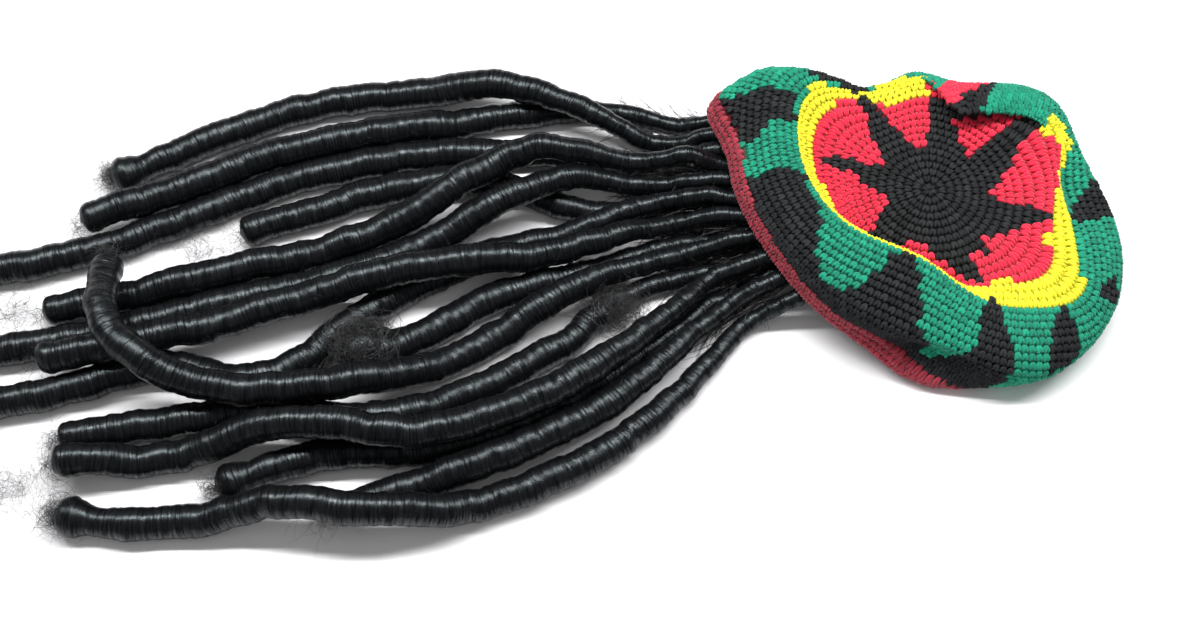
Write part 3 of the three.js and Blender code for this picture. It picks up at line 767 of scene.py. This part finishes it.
def lock_mesh(number, path, radii):
    """A wrapped lock: rounded turns of hair, uneven in width, with its own kind of end."""
    beyond = path[-1] + unit(path[-1] - path[-2]) * LONG_TIPS.get(number, TIP_BEYOND)
    points, radius, along = smooth_path(np.vstack([path, beyond]), np.append(radii, radii[-1]))
    tangent = unit(np.gradient(points, axis=0))
    side = unit(np.cross(tangent, (0, 0, 1)))
    up = np.cross(side, tangent)
    points = points + side * waves(along, number, ASIDE)[:, None]
    end_at, end_width = zip(*ENDS.get(number, BLUNT))
    taper = np.interp(along[-1] - along, end_at, end_width)
    turn = np.arange(ROUND_SIDES + 1) / ROUND_SIDES * 2 * math.pi
    pace = along / TURN_PITCH + waves(along, number, PACE)
    phase = pace[:, None] + turn / (2 * math.pi)
    turns = np.abs(np.sin(math.pi * phase)) ** RIDGE_POWER
    wide = waves(along, number, WIDTH)
    lump = waves(along, number, LUMPS)[:, None] * np.cos(turn - LUMP_SIDE)
    body = (radius - RIDGE / 2 + wide)[:, None] + RIDGE * turns + lump
    body = body * np.maximum(taper, END_LEAST)[:, None]
    aside = np.cos(turn - math.pi / 2) * body
    above = np.sin(turn - math.pi / 2) * body
    verts = points[:, None] + side[:, None] * aside[..., None] + up[:, None] * above[..., None]
    verts[..., 2] = np.maximum(verts[..., 2], LOCK_OFF_FLOOR)
    count = len(points)
    sides = ROUND_SIDES
    ring = verts[:, :sides].reshape(-1, 3)
    quads, uvs = [], []
    around = 2 * math.pi * LOCK_RADIUS
    u = np.arange(sides + 1) / sides * around
    u0, u1 = u[:-1], u[1:]
    for k in range(count - 1):
        quads.append(ring_quads(k * sides, (k + 1) * sides, sides))
        v0, v1 = np.full(sides, along[k]), np.full(sides, along[k + 1])
        uvs.append(np.stack([u0, v0, u0, v1, u1, v1, u1, v0], axis=1).reshape(-1, 2))
    ends = [verts[0].mean(axis=0), verts[-1].mean(axis=0) + tangent[-1] * END_BULGE]
    start, last = len(ring), len(ring) + 1
    first = (count - 1) * sides
    tris = [(start, k, (k + 1) % sides) for k in range(sides)]
    tris += [(last, first + (k + 1) % sides, first + k) for k in range(sides)]
    tri_uv = [
        (at * around, v)
        for v in (along[0], along[-1])
        for k in range(sides)
        for at in (0, k / sides, (k + 1) % sides / sides)
    ]
    mesh = mesh_from(f"lock_{number}", np.vstack([ring, ends]), np.vstack(quads), tris)
    set_uv(mesh, np.vstack([np.vstack(uvs), np.array(tri_uv, float)]))
    return mesh, points, tangent, radius


# Loose hair: thin three-sided strands with a wandering path

STRAND_ANGLES = (0.0, 2.094, 4.189)  # the three corners of a strand
STRAND_TIP = 0.35  # how thin a strand gets
STRAND_OFF_FLOOR = 0.05
SLANT = (0.13, 0.21, 0.97)  # a direction in which no strand is likely to run
STRAND_FALL = (0.7, 0.12)  # how a strand's rise fades at each step, and how it sinks
CURL_CHANGE = 0.5  # how fast its bend changes, as a share of its curl


def strands_mesh(name, strands):
    """One mesh of strands, each given by its points and its radius."""
    verts, quads, tris = [], [], []
    total = 0
    for line, radius in strands:
        line[:, 2] = np.maximum(line[:, 2], radius + STRAND_OFF_FLOOR)
        tangent = unit(np.gradient(line, axis=0))
        side = unit(np.cross(tangent, SLANT))
        up = np.cross(side, tangent)
        first = total
        total += 3 * len(line)
        thin = radius * np.linspace(1, STRAND_TIP, len(line))[:, None]
        ring = [line + (side * math.cos(a) + up * math.sin(a)) * thin for a in STRAND_ANGLES]
        verts.append(np.stack(ring, axis=1).reshape(-1, 3))
        last = total - 3
        quads += [ring_quads(k, k + 3, 3) for k in range(first, last, 3)]
        tris += [(first, first + 1, first + 2), (last, last + 2, last + 1)]
    return mesh_from(name, np.vstack(verts), np.vstack(quads), tris)


def strand(start, heading, length, curl, steps=9):
    """A loose hair from a point: it wanders by chance and sinks to the floor."""
    line = [np.array(start, float)]
    angle = math.atan2(heading[1], heading[0])
    rise = heading[2]
    bend = rng.normal(0, curl)
    fade, fall = STRAND_FALL
    step = length / (steps - 1)
    for _ in range(steps - 1):
        bend += rng.normal(0, curl * CURL_CHANGE)
        angle += bend
        rise = rise * fade - fall
        line.append(line[-1] + np.array([math.cos(angle), math.sin(angle), rise]) * step)
    return np.array(line)


RINGLET_STEPS = 11
RINGLET_DRIFT = 3  # how far a curl is drawn out, in millimetres
RINGLET_SIZES = (0.6, 1.6)
RINGLET_SCATTER = 0.5  # how widely curls start round the centre, in reaches
LYING = (1, 1, 0.45)  # keeps a curl's first direction near the floor's plane
STANDING = (0.4, 0.4, 1)  # and the axis that it turns round near the upright
PULLED_IN = 0.4  # how far a curl is moved back towards the middle of its tuft


def ringlet(centre, reach, length, curl_radius):
    """A loose curl of hair somewhere round a centre, flatter than it is wide."""
    start = np.array(centre, float) + rng.normal(0, RINGLET_SCATTER, 3) * reach
    first = unit(rng.normal(0, 1, 3) * LYING)
    second = unit(np.cross(unit(rng.normal(0, 1, 3) * STANDING), first))
    curve = curl_radius * rng.uniform(*RINGLET_SIZES)
    turn = np.linspace(0, length / curve, RINGLET_STEPS)[:, None]
    drift = np.linspace(0, 1, RINGLET_STEPS)[:, None] * rng.normal(0, RINGLET_DRIFT, 3)
    line = start + curve * (first * np.sin(turn) + second * (1 - np.cos(turn))) + drift
    return line + (np.array(centre) - line.mean(axis=0)) * PULLED_IN


# Tufts of frayed hair: centre, reach along x, y and z, count, length, curl, thickness
TUFTS = (
    ("end of 18", (-400, -110, 22), (16, 15, 9), 760, 44, 11, 0.26),
    ("end of 01", (-594, 34, 11), (11, 10, 8), 150, 26, 7, 0.14),
    ("beside 01", (-600, 6, 2), (18, 14, 2), 36, 34, 11, 0.10),
    ("end of 12", (-592, -227, 12), (12, 13, 9), 190, 32, 8, 0.13),
    ("end of 10", (-602, -194, 11), (8, 9, 7), 60, 30, 8, 0.12),
    ("end of 13", (-602, -175, 10), (7, 8, 6), 50, 26, 7, 0.12),
    ("end of 14", (-492, -210, 10), (8, 8, 7), 90, 26, 7, 0.13),
    ("end of 11", (-420, -227, 9), (7, 8, 6), 50, 24, 7, 0.12),
    ("end of 02", (-606, -14, 14), (7, 7, 7), 40, 26, 7, 0.12),
    ("end of 09", (-576, -48, 40), (7, 7, 6), 40, 24, 7, 0.12),
    ("cloud at left", (-628, -206, 4), (24, 24, 4), 70, 66, 11, 0.085),
    ("cloud at far left", (-647, -76, 4), (24, 24, 4), 60, 60, 11, 0.085),
    ("between 16 and 04", (-522, -26, 3), (26, 12, 3), 60, 50, 13, 0.09),
    ("by the kink", (-228, -76, 14), (24, 12, 8), 330, 44, 12, 0.2),
)


# Materials

# Hair lines on a lock: how fast they vary round it and along it, per millimetre, and detail
FINE_LINES = (0.035, 1.0, 5.0)
COARSE_LINES = (0.07, 0.42, 2.0)
LINE_SLANT = 0.15
HAIR_COLOURS = (0.0015, 0.0016, 0.002), (0.006, 0.0065, 0.0075)
HAIR_TINT = (0.84, 0.96, 1.0)
STRAND_COLOURS = (0.004, 0.004, 0.005), (0.026, 0.027, 0.028)
FLOOR_COLOURS = (0.86, 0.85, 0.87), (0.92, 0.92, 0.93)
YARN_LIFT = 0.02  # how far the light fibres of dark yarn stay from black
FUZZ_SHARE, SHADE_SHARE, TONE_START = 0.55, 0.6, -0.1  # what a yarn's tone is made up of
PLY_SHARE = 0.6  # of the plies in the yarn's relief

# Colour of each yarn, how much lighter and darker its fibres get, and its sheen
YARNS = {
    "red": ((0.84, 0.017, 0.060), 1.25, 0.72, 0.25),
    "yellow": ((0.97, 0.88, 0.035), 1.12, 0.78, 0.1),
    "green": ((0.003, 0.28, 0.165), 1.5, 0.5, 0.12),
    "black": ((0.0075, 0.0085, 0.0095), 2.0, 0.5, 0.0),
    "rim": ((0.29, 0.014, 0.032), 1.6, 0.6, 0.3),
}


class Nodes:
    """A material's shader nodes, made and joined up."""

    def __init__(self, name):
        self.material = bpy.data.materials.new(name)
        self.material.use_nodes = True
        self.nodes = self.material.node_tree.nodes
        self.links = self.material.node_tree.links
        self.shader = self.nodes["Principled BSDF"]

    def add(self, kind, inputs, **settings):
        """A node; an input is a number, a colour or the output that feeds it."""
        node = self.nodes.new("ShaderNode" + kind)
        for name, value in settings.items():
            setattr(node, name, value)
        self.set(node, inputs)
        return node.outputs

    def set(self, node, inputs):
        for name, value in inputs.items():
            if isinstance(value, bpy.types.NodeSocket):
                self.links.new(value, node.inputs[name])
            else:
                node.inputs[name].default_value = value

    def where(self):
        return self.add("TexCoord", {})["Object"]

    def on_surface(self):
        return self.add("UVMap", {}, uv_map="UVMap")["UV"]

    def noise(self, place, scale, **inputs):
        return self.add("TexNoise", {"Vector": place, "Scale": scale, **inputs})

    def math(self, operation, *values):
        return self.add("Math", dict(enumerate(values)), operation=operation)["Value"]

    def span(self, value, **ends):
        named = {name.replace("_", " "): end for name, end in ends.items()}
        return self.add("MapRange", {"Value": value, **named})["Result"]

    def mix(self, share, first, second, **settings):
        inputs = {"Factor": share, "A": first, "B": second}
        return self.add("Mix", inputs, data_type="RGBA", **settings)["Result"]

    def between(self, share, colours):
        return self.mix(share, *[(*colour, 1) for colour in colours])

    def bump(self, height, strength, distance):
        inputs = {"Strength": strength, "Distance": distance, "Height": height}
        return self.add("Bump", inputs)["Normal"]

    def finish(self, **inputs):
        self.set(self.shader, {name.replace("_", " "): value for name, value in inputs.items()})
        return self.material


def yarn_material(name, colour, light, dark, sheen):
    """Plied yarn: plies that run round each leg, fuzz, and a shade of its own a stitch."""
    yarn = Nodes(name)
    plies = yarn.add(
        "TexWave",
        {"Scale": 1.3, "Distortion": 1.2, "Detail": 1.0, "Vector": yarn.on_surface()},
        wave_type="BANDS",
        bands_direction="DIAGONAL",
    )["Fac"]
    fuzz = yarn.noise(yarn.where(), scale=1900.0, Detail=3.0, Roughness=0.7)["Fac"]
    shade = yarn.add("Attribute", {}, attribute_name="shade")["Fac"]
    tone = yarn.math("MULTIPLY_ADD", shade, SHADE_SHARE, TONE_START)
    tone = yarn.math("MULTIPLY_ADD", fuzz, FUZZ_SHARE, tone)
    darkest = [c * dark for c in colour]
    lightest = [min(1, c * light + (light - 1) * YARN_LIFT) for c in colour]
    relief = yarn.math("MULTIPLY_ADD", plies, PLY_SHARE, fuzz)
    return yarn.finish(
        Base_Color=yarn.between(tone, (darkest, lightest)),
        Normal=yarn.bump(relief, strength=0.7, distance=0.0005),
        Roughness=0.86,
        Specular_IOR_Level=0.15,
        Sheen_Weight=sheen,
        Sheen_Roughness=0.5,
    )


def cloth_material():
    """The cloth behind the stitches: their colours darkened by painted shade, with fuzz."""
    cloth = Nodes("cap_cloth")
    shaded_tint = cloth.add("VertexColor", {}, layer_name="shaded_tint")["Color"]
    fuzz = cloth.noise(cloth.where(), scale=900.0, Detail=4.0)
    return cloth.finish(
        Base_Color=cloth.mix(0.5, shaded_tint, fuzz["Color"], blend_type="MULTIPLY"),
        Normal=cloth.bump(fuzz["Fac"], strength=0.8, distance=0.0008),
        Roughness=0.95,
        Specular_IOR_Level=0.15,
    )


def hair_material():
    """Wrapped synthetic hair: fine lines round the lock, glossy in short strokes."""
    hair = Nodes("wrapped_hair")
    place = hair.on_surface()

    def lines_of(across, along, detail):
        inputs = {"Scale": (across, along, 1.0), "Rotation": (0, 0, LINE_SLANT), "Vector": place}
        spread = hair.add("Mapping", inputs)["Vector"]
        return hair.noise(spread, scale=1.0, Detail=detail, Roughness=0.7)["Fac"]

    fine = lines_of(*FINE_LINES)
    strokes = hair.math("ADD", fine, lines_of(*COARSE_LINES))
    patches = hair.noise(hair.where(), scale=60.0)["Fac"]
    gloss = hair.span(strokes, From_Min=0.86, From_Max=1.2, To_Min=0.06, To_Max=0.55)
    return hair.finish(
        Base_Color=hair.between(fine, HAIR_COLOURS),
        Normal=hair.bump(strokes, strength=1.0, distance=0.0003),
        Roughness=hair.span(patches, To_Min=0.23, To_Max=0.31),
        Specular_IOR_Level=gloss,
        Specular_Tint=(*HAIR_TINT, 1),
    )


def plain_material(name, colours, scale, roughness):
    """Two close colours mixed in soft patches."""
    plain = Nodes(name)
    tone = plain.noise(plain.where(), scale)["Fac"]
    return plain.finish(Base_Color=plain.between(tone, colours), Roughness=roughness)


# Building the model

materials = {name: yarn_material(f"{name}_yarn", *looks) for name, looks in YARNS.items()}
stitches = all_stitches()
rounds, angles = stitches[:, 0], stitches[:, 1]
colours = colour_at(rounds, angles)
crown = rounds < STRIPE_EDGE
# Piece, yarn, slot, its stitches, and the solid that it replaces
sets = (
    ("crown_red", "red", "red_yarn", colours == RED, "crown"),
    ("crown_leaf", "black", "black_yarn", crown & (colours == BLACK), None),
    ("stripe_yellow", "yellow", "yellow_yarn", colours == YELLOW, "crown_stripe"),
    ("band_green", "green", "green_yarn", colours == GREEN, "side_band"),
    ("band_black", "black", "black_yarn", ~crown & (colours == BLACK), None),
    ("rim_red", "rim", "dark_red_yarn", colours == RIM, "rim_band"),
)
for name, material, slot, chosen, node in sets:
    mesh = build_stitches(stitches[chosen], name)
    piece(mesh, materials[material], (node,) if node else ())
piece(cloth_mesh(), cloth_material())

hair = hair_material()
lip = lip_points()
laid = []
locks = {}
for number in ROUTES:
    path, radii = lay_lock(number, laid, lip)
    laid.append((path, radii))
    mesh, points, tangent, radius = lock_mesh(number, path, radii)
    piece(mesh, hair, (f"dreadlock_{number}",))
    locks[number] = (points, tangent, radius)

# Hair that comes loose at the end of each lock
END_COUNT = 36
END_RINGS = 6  # how far back it starts, in rings of the lock
END_SCATTER = 3
END_FAN = 1.2  # how far it fans out, in radians
END_RISE = (0.1, 0.3)
END_LENGTH = (8, 34)
END_RADIUS = 0.11
# Short hairs that stand off all along a lock
SHORT_COUNT = 90
SHORT_FROM, SHORT_TO = 8, 4  # rings left free at the root and at the end
SHORT_ROOT = 0.93  # where they start, in radii
SHORT_LEAN = 0.5  # how steeply they leave the lock
SHORT_LENGTH = (4, 11)
SHORT_STEPS = 5
SHORT_RADIUS = 0.07
# Hair left loose between the locks under the rim, except at the outermost locks
MAT_COUNT = 110
MAT_RINGS = (3, 34)
MAT_SPREAD = 5.5
MAT_HEIGHT = (0.15, 0.9)
MAT_LENGTH = (20, 45)
MAT_STEPS = 6
MAT_RADIUS = (0.25, 0.5)
OUTERMOST = ("01", "12")
CURL, MAT_CURL = 0.25, 0.12
TUFT_LENGTHS = (0.5, 1.3)
TUFT_WIDTHS = (0.7, 1.2)

UP = np.array((0, 0, 1))
loose = []
for number, (points, tangent, radius) in locks.items():
    for _ in range(END_COUNT):
        a = rng.uniform(-END_FAN, END_FAN)
        x, y, _ = tangent[-1]
        cos, sin = math.cos(a), math.sin(a)
        heading = (x * cos - y * sin, x * sin + y * cos, rng.normal(*END_RISE))
        start = points[-rng.integers(1, END_RINGS)] + rng.normal(0, END_SCATTER, 3)
        loose.append((strand(start, heading, rng.uniform(*END_LENGTH), CURL), END_RADIUS))
    for _ in range(SHORT_COUNT):
        k = rng.integers(SHORT_FROM, len(points) - SHORT_TO)
        side = unit(np.cross(tangent[k], UP))
        a = rng.uniform(0, math.pi)
        out = side * math.cos(a) + UP * math.sin(a)
        start = points[k] + out * radius[k] * SHORT_ROOT
        lead = tangent[k] * rng.choice([-1, 1]) + out * SHORT_LEAN
        line = strand(start, lead, rng.uniform(*SHORT_LENGTH), CURL, SHORT_STEPS)
        loose.append((line, SHORT_RADIUS))
    for _ in range(0 if number in OUTERMOST else MAT_COUNT):
        k = rng.integers(*MAT_RINGS)
        side = unit(np.cross(tangent[k], UP))
        start = points[k] * (1, 1, rng.uniform(*MAT_HEIGHT)) + side * rng.normal(0, MAT_SPREAD)
        line = strand(start, tangent[k], rng.uniform(*MAT_LENGTH), MAT_CURL, MAT_STEPS)
        loose.append((line, rng.uniform(*MAT_RADIUS)))
loose_hair = plain_material("loose_hair", STRAND_COLOURS, scale=140.0, roughness=0.45)
piece(strands_mesh("loose_hair", loose), loose_hair)
frayed = []
for _, centre, reach, count, length, curl, thick in TUFTS:
    for _ in range(count):
        line = ringlet(centre, reach, length * rng.uniform(*TUFT_LENGTHS), curl)
        frayed.append((line, thick * rng.uniform(*TUFT_WIDTHS)))
piece(strands_mesh("frayed_hair", frayed), loose_hair)

# Floor, light and camera

FLOOR_HALF = 6.0
WORLD_STRENGTH = 0.2
ABOVE = (-0.25, 0.26, 1.3)  # where the two narrow lights hang, and what they point at
BELOW = (-0.25, -0.05, 0)
floor_mesh = bpy.data.meshes.new("floor")
corners = [(x * FLOOR_HALF, y * FLOOR_HALF, 0) for x, y in ((-1, -1), (1, -1), (1, 1), (-1, 1))]
floor_mesh.from_pydata(corners, [], [(0, 1, 2, 3)])
floor = put("floor", floor_mesh)
floor_mesh.materials.append(plain_material("floor", FLOOR_COLOURS, scale=4.0, roughness=0.6))

world = bpy.data.worlds.new("studio")
scene.world = world
world.use_nodes = True
background = world.node_tree.nodes["Background"]
background.inputs["Color"].default_value = (1.0, 1.0, 1.0, 1)
background.inputs["Strength"].default_value = WORLD_STRENGTH


def area_light(name, place, target, size, power):
    data = bpy.data.lights.new(name, "AREA")
    data.shape = "RECTANGLE"
    data.size, data.size_y = size
    data.energy = power
    light = put(name, data)
    light.location = place
    aim = Vector(target) - Vector(place)
    light.rotation_euler = aim.to_track_quat("-Z", "Y").to_euler()
    return light


area_light("strip_light", ABOVE, BELOW, (2.8, 0.12), power=41)
line_light = area_light("line_light", ABOVE, BELOW, (2.8, 0.08), power=45)
line_light.visible_diffuse = False  # only draws the bright line along each lock
fill_light = area_light("fill_light", (-0.2, -1.2, 1.5), (-0.2, -0.1, 0), (3.0, 3.0), power=9)
fill_light.visible_glossy = False  # the hair shines along one narrow line only

camera_data = bpy.data.cameras.new("camera")
camera_data.lens = CAMERA_LENS
camera = put("camera", camera_data)
camera.location = CAMERA_PLACE
camera.rotation_euler = (CAMERA_TILT, 0, 0)
scene.camera = camera
scene.view_settings.view_transform = "Standard"
